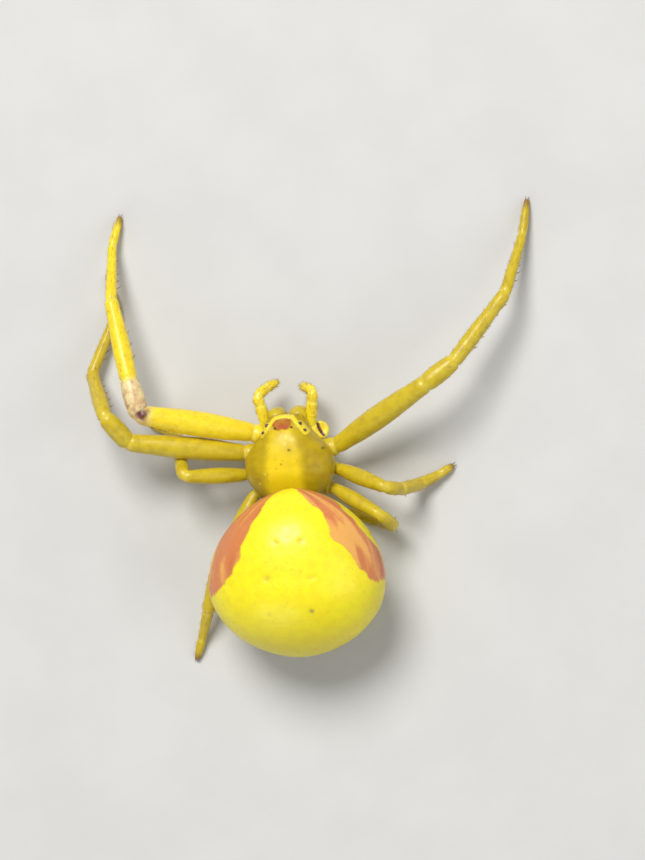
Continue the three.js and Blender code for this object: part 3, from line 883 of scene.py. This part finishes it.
def kneeMarks(knee, verts, pieceOf):
    pale = [
        0.92 * smooth(1.05, 0.85, t) if piece == 2 else 0.8 * smooth(0.86, 0.97, t) if piece == 1 else 0.0
        for piece, t in pieceOf
    ]
    stain = [0.0] * len(verts)
    for offset, size, depth in kneeStains:
        near = [bump((v - knee - Vector(offset)).length, size * (1 + 0.5 * grainy(v, 6, 9))) for v in verts]
        stain = [max(old, depth * smooth(0.2, 0.75, close)) for old, close in zip(stain, near)]
    return pale, stain


def buildLeg(name):
    sideName, number = name.split("_")
    side, pair = sides[sideName], pairs[int(number) - 1]
    isLong, isScarred = int(number) < 3, name == "left_1"
    joints = legJoints(side, pair, pose[name])
    girths = legGirths(pair)
    seat = coxaStart(side, pair).lerp(joints[0], 0.2)
    centres, radii, joint, pieceOf = walk([seat] + joints, girths)
    centres = groundSkin(centres, radii)
    swept = sweep(centres, radii, 26)
    tip = [smooth(0.55, 1.0, t) * 0.85 if piece == 5 else 0.0 for piece, t in pieceOf]
    pale, stain = kneeMarks(joints[1], swept[0], pieceOf) if isScarred else (None, None)
    # Painted light: the left first leg takes the lit copy of the leg skin, and the others take the shaded one.
    skin = "paintedLitLegs" if isScarred else "legs"
    piece = limbPiece(f"leg_{name}_skin", swept, skin, joint=joint, tip=tip, stain=stain, pale=pale)
    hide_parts(*[f"leg_{name}_{part}" for part in ("coxa", "femur", "patella", "tibia", "foot")])

    rng = random.Random(f"{name} leg")
    fine = Hairs()
    legHairs(fine, centres, radii, pieceOf, rng, legHair["front" if isLong else "rear"], legHair["longest"])
    fine.finish(f"leg_{name}_hairs", skins["hair"])
    stout = Hairs()
    legSpines(stout, joints[2], joints[3], girths[3][2], rng, 5 if isLong else 2)
    if isLong:
        legSpines(stout, joints[3], joints[4], girths[4][2], rng, 6)
    stout.finish(f"leg_{name}_spines", skins["spine"])
    grip = Hairs()
    claws(grip, centres[-1], (centres[-1] - centres[-2]).normalized())
    grip.finish(f"leg_{name}_claws", skins["dark"])


for name in pose:
    buildLeg(name)
print("legs made")


stump = {
    "share": 0.8, "upward": 0.75, "slit": (-0.27, 0.59, -0.04), "slitLength": 0.36, "slitWidth": 0.085,
    "radius": 0.355, "fullness": [(0, 0.95), (0.5, 1.04), (0.9, 1.0), (1, 0.95)],
}


# The healed end of the stump: a raised rim, a slit and fine folds beside it.
def capRelief(shrink, lengthwise, sideways):
    slit = bump(sideways, stump["slitWidth"]) * smooth(stump["slitLength"], 0.24, abs(lengthwise))
    folds = 0.03 * grainy((sideways * 9, lengthwise * 3, 0), 1.0, 5)
    return bump(shrink - 0.72, 0.2), slit, folds


# The coxa of the shed leg. Its rings turn gradually to face up and out, and close in a puckered rim.
def buildStump():
    pair = pairs[0]
    start, end = coxaStart(-1, pair), rootOf(-1, pair)
    way = (end - start).normalized()
    facing = (way + Vector((0, 0, stump["upward"]))).normalized()
    middle = start.lerp(end, stump["share"])
    side = way.cross(Vector((0, 0, 1))).normalized()
    other = way.cross(side)
    along = Vector(stump["slit"]).normalized()
    aside = facing.cross(along)
    around, rings, capRings = 72, 28, 22
    verts, stain, rim = [], [], []
    for i in range(rings + capRings):
        onTube = i < rings
        s = i / (rings - 1) if onTube else 1
        shrink = 1 if onTube else 1 - (i - rings + 1) / (capRings + 1)
        turn = smooth(0.3, 1, s)
        normal = (way * (1 - turn) + facing * turn).normalized()
        radius = stump["radius"] * curveAt(stump["fullness"], s)
        for k in range(around):
            a = 2 * math.pi * k / around
            out = (side * math.cos(a) + other * math.sin(a)) * radius
            out -= way * (out.dot(normal) / way.dot(normal))
            d = out * shrink
            edge, slit, folds = (0, 0, 0) if onTube else capRelief(shrink, d.dot(along), d.dot(aside))
            verts.append(start.lerp(middle, s) + d + facing * (0.04 * edge - 0.1 * slit + folds))
            stain.append(0.97 * smooth(0.25, 0.7, slit))
            rim.append(edge if not onTube else 0.5 * smooth(0.85, 1, s))
    verts += [start - way * 0.05, middle - facing * 0.1]
    tail, head = len(verts) - 2, len(verts) - 1
    stain += [0, 0.97]
    rim += [0, 0]
    faces = [(tail, (k + 1) % around, k) for k in range(around)]
    for i in range(rings + capRings - 1):
        faces += strip(i * around, (i + 1) * around, around)
    last = (rings + capRings - 1) * around
    faces += [(head, last + k, last + (k + 1) % around) for k in range(around)]
    swept = (verts, faces, range(len(verts)))
    # The stump takes the painted-lit copy of the leg skin.
    piece = limbPiece("leg_right_1_stump_skin", swept, "paintedLitLegs", joint=rim, stain=stain)
    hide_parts("leg_right_1_coxa_stump")


buildStump()


jaw = {
    "out": 0.45, "narrowing": 0.86, "top": (-3.2, 2.05), "bottom": (-3.28, 0.85),
    "girths": [0.3, 0.36, 0.42, 0.41, 0.36, 0.27], "inside": 0.98, "clearOfMiddle": 0.045,
}
fang = {"below": 0.24, "end": (0.07, -3.0, 0.56), "radius": 0.1, "bow": 0.09}
maxilla = {"root": (0.46, -2.66, 1.2), "end": (0.24, -2.98, 1.02), "radius": 0.2}
feeler = {
    "root": (0.82, -2.84, 1.5), "knee": (1.08, -4.16, 1.85), "tuck": 0.05, "hairs": 260, "longestHair": 0.15,
    "tips": {"left": (0.34, -4.66, 1.2), "right": (0.5, -4.42, 1.0)},
    "girths": [[0.23, 0.23, 0.21], [0.2, 0.21, 0.195], [0.185, 0.2, 0.185], [0.175, 0.185, 0.155, 0.09]],
}


def at(sideName, x, y, z):
    return Vector((sides[sideName] * x, y, z))


def buildJaw(sideName):
    side, shares = sides[sideName], steps(31)
    top = at(sideName, jaw["out"], *jaw["top"])
    bottom = at(sideName, jaw["out"] * jaw["narrowing"], *jaw["bottom"])
    centres = [top.lerp(bottom, share) + Vector((0, -0.03 * math.sin(math.pi * share), 0)) for share in shares]
    stations = list(zip(steps(len(jaw["girths"])), jaw["girths"]))
    roundTop = [math.sqrt(1 - 0.9 * (1 - min(1, share * 5)) ** 2) for share in shares]
    radii = [curveAt(stations, share) * jaw["inside"] * full for share, full in zip(shares, roundTop)]
    verts, faces, ringOf = sweep(centres, radii, 36)
    inner = jaw["clearOfMiddle"]
    verts = [Vector((v.x if side * v.x > inner else side * inner, v.y, v.z)) for v in verts]
    tip = [0.5 * smooth(0.75, 1, share) for share in shares]
    piece = limbPiece(f"chelicera_{sideName}_skin", (verts, faces, ringOf), tip=tip)
    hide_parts(f"chelicera_{sideName}")


def buildFang(sideName):
    start = at(sideName, jaw["out"] * jaw["narrowing"], jaw["bottom"][0], jaw["bottom"][1] - fang["below"])
    end = at(sideName, *fang["end"])
    shares = steps(13)
    bow = [Vector((0, 0, fang["bow"] * math.sin(math.pi * share))) for share in shares]
    hook = [start.lerp(end, share) - sag for share, sag in zip(shares, bow)]
    radii = [fang["radius"] * (1 - share * 8 / 9) + 0.01 for share in shares]
    verts, faces, _ = sweep(hook, radii, 14)
    piece = makePiece(f"fang_{sideName}_skin", verts, faces, skins["dark"])
    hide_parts(f"fang_{sideName}")


def buildMaxilla(sideName):
    root, end = at(sideName, *maxilla["root"]), at(sideName, *maxilla["end"])
    shares = steps(13)
    lobe = [root.lerp(end, share) for share in shares]
    radii = [maxilla["radius"] * fullness(0.12 + 0.8 * share, 0.5, 0.35) for share in shares]
    piece = limbPiece(f"maxilla_{sideName}_skin", sweep(lobe, radii, 20))
    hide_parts(f"maxilla_{sideName}")


def buildPalp(sideName):
    root, knee = at(sideName, *feeler["root"]), at(sideName, *feeler["knee"])
    end = at(sideName, *feeler["tips"][sideName])
    shin = knee.lerp(end, 0.5) + at(sideName, 0.03, -0.03, 0.03)
    points = [root, root.lerp(knee, 0.72), knee, shin, end]
    centres, radii, joint, pieceOf = walk(points, feeler["girths"], 0.04, feeler["tuck"], 0.2)
    tip = [0.5 * smooth(0.75, 1, t) if piece == 3 else 0.0 for piece, t in pieceOf]
    # The palp takes the painted-lit copy of the leg skin.
    piece = limbPiece(f"palp_{sideName}_skin", sweep(centres, radii, 22), "paintedLitLegs", joint=joint, tip=tip)
    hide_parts(f"palp_{sideName}_base", f"palp_{sideName}_tip")
    hairs = Hairs()
    rng = random.Random(f"{sideName} palp")
    allFine = [(3, 0)] * len(centres)  # every hair as long as on the end of a leg
    legHairs(hairs, centres, radii, allFine, rng, feeler["hairs"], feeler["longestHair"])
    hairs.finish(f"palp_{sideName}_hairs", skins["hair"])


for sideName in sides:
    buildJaw(sideName)
    buildFang(sideName)
    buildMaxilla(sideName)
    buildPalp(sideName)
print("mouthparts made")


# Each lens sits where the frame's own eye sits.
def buildEyes():
    for row in ("front_middle", "front_side", "rear_middle", "rear_side"):
        for sideName in sides:
            low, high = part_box(f"eye_{row}_{sideName}")
            centre, radius = ((low + high) / 2 - waist) / mm, (high.z - low.z) / 2 / mm * 0.98

            def shape(t, across, up):
                width = 2 * math.sqrt(t * (1 - t))
                return centre + Vector((width * across, 2 * t - 1, width * up)) * radius

            verts, faces = moulded(28, 18, shape)
            piece = makePiece(f"eye_{row}_{sideName}_lens", verts, faces, skins["eye"])
            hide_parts(f"eye_{row}_{sideName}")


buildEyes()


pedicel = {"front": (0, -0.45, 1.65), "rear": (0, 0.6, 2.0), "radius": 0.25}
# The cones are given by how far they stand out, their place along the stalk, radius and length.
spinning = {
    "front": (4.85, 1.02), "rear": (5.3, 1.3), "radius": 0.385,
    "cones": [(0.22, 0.1, 0.19, 0.5), (0.2, 0.85, 0.16, 0.46)],
}


def buildPedicel():
    front, rear = Vector(pedicel["front"]), Vector(pedicel["rear"])
    centres = [front.lerp(rear, share) for share in steps(15)]
    piece = limbPiece("pedicel_skin", sweep(centres, [pedicel["radius"]] * len(centres), 24))
    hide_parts("pedicel")


def buildSpinnerets():
    root, end = (Vector((abdomenForm["shift"], *spinning[where])) for where in ("front", "rear"))
    stalk = [root.lerp(end, share) for share in steps(11)]
    radii = [spinning["radius"] * fullness(0.1 + 0.8 * share, 0.5, 0.3) for share in steps(11)]
    made = [sweep(stalk, radii, 28)]
    for out, seat, radius, length in spinning["cones"]:
        for side in (-1, 1):
            base = root.lerp(end, seat) + Vector((side * out, 0, -0.1))
            far = base + Vector((side * 0.05, length * 0.7, -length * 0.7))
            cone = [base.lerp(far, share) for share in steps(13)]
            taper = [1 - 0.4 * share - 0.06 * bump(share - 0.62, 0.08) for share in steps(13)]
            made.append(sweep(cone, [radius * part for part in taper], 20))
    verts, faces = [], []
    for partVerts, partFaces, _ in made:
        faces += [tuple(k + len(verts) for k in face) for face in partFaces]
        verts += partVerts
    tip = [0.35 * smooth(0.8, 0.55, v.z) for v in verts]
    piece = limbPiece("spinnerets_skin", (verts, faces, range(len(verts))), tip=tip)
    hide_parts("spinnerets")
    print("waist and spinnerets made")


buildPedicel()
buildSpinnerets()


# Position in metres, height aimed at, diameter, watts and colour.
lamps = {
    "key": ((0.03, -0.15, 0.24), 0, 0.13, 0.78, (1, 0.99, 0.97)),
    "fill": ((-0.2, 0.06, 0.16), 0, 0.2, 0.16, (0.95, 0.98, 1)),
    "rear": ((0.1, 0.22, 0.12), 0.002, 0.16, 0.13, (1, 1, 1)),
}
studio = {"colour": (0.9, 0.94, 1.0, 1), "strength": 0.29}
floorHalf = 0.6
shot = {"tilt": 9, "roll": 4.5, "distance": 110, "perMm": 26.3, "across": 645, "target": (-1.363, -2.665, 2.0)}


def buildStage():
    mesh = bpy.data.meshes.new("floor")
    corners = [(x * floorHalf, y * floorHalf, 0) for x, y in ((-1, -1), (1, -1), (1, 1), (-1, 1))]
    mesh.from_pydata(corners, [], [(0, 1, 2, 3)])
    floor = bpy.data.objects.new("floor", mesh)
    bpy.context.collection.objects.link(floor)
    material, tree, shader = newMaterial("floorPaper", 0.85)
    paper = addNode(tree, "ShaderNodeTexNoise", Scale=300, Detail=3)
    where = tree.nodes.new("ShaderNodeTexCoord")
    tree.links.new(where.outputs["Object"], paper.inputs["Vector"])
    tone = mixColour(tree, ramp(tree, paper.outputs[0], 0.3, 0.7), (0.63, 0.62, 0.60), (0.605, 0.595, 0.575))
    tree.links.new(tone, shader.inputs["Base Color"])
    mesh.materials.append(material)


def buildLights():
    for name, (position, aim, size, power, colour) in lamps.items():
        data = bpy.data.lights.new(name, "AREA")
        data.shape = "DISK"
        data.size = size
        data.energy = power
        data.color = colour
        light = bpy.data.objects.new(name, data)
        light.location = position
        light.rotation_euler = (Vector((0, 0, aim)) - Vector(position)).to_track_quat("-Z", "Y").to_euler()
        bpy.context.collection.objects.link(light)
    world = bpy.data.worlds.new("studio")
    world.use_nodes = True
    background = world.node_tree.nodes["Background"]
    background.inputs["Color"].default_value = studio["colour"]
    background.inputs["Strength"].default_value = studio["strength"]
    bpy.context.scene.world = world
    bpy.context.scene.view_settings.view_transform = "Standard"


# Nearly straight down, from a little to the animal's right, with the body's line turned a little in the frame.
def buildCamera():
    tilt, roll = math.radians(shot["tilt"]), math.radians(shot["roll"])
    back = Vector((-math.sin(tilt), 0, math.cos(tilt)))
    level = back.cross(Vector((0, 1, 0))).normalized()
    right = level * math.cos(roll) - Vector((0, -1, 0)) * math.sin(roll)
    turn = Matrix((right, back.cross(right), back)).transposed().to_4x4()
    eye = place(Vector(shot["target"]) + back * shot["distance"])
    camera = bpy.data.objects.new("camera", bpy.data.cameras.new("camera"))
    camera.matrix_world = Matrix.Translation(eye) @ turn
    camera.data.sensor_fit = "HORIZONTAL"
    camera.data.sensor_width = 36
    camera.data.lens = 36 * shot["distance"] * shot["perMm"] / shot["across"]
    camera.data.clip_start = 0.001
    camera.data.clip_end = 10
    bpy.context.collection.objects.link(camera)
    bpy.context.scene.camera = camera


buildStage()
buildLights()
buildCamera()
print("stage, lights and camera made")
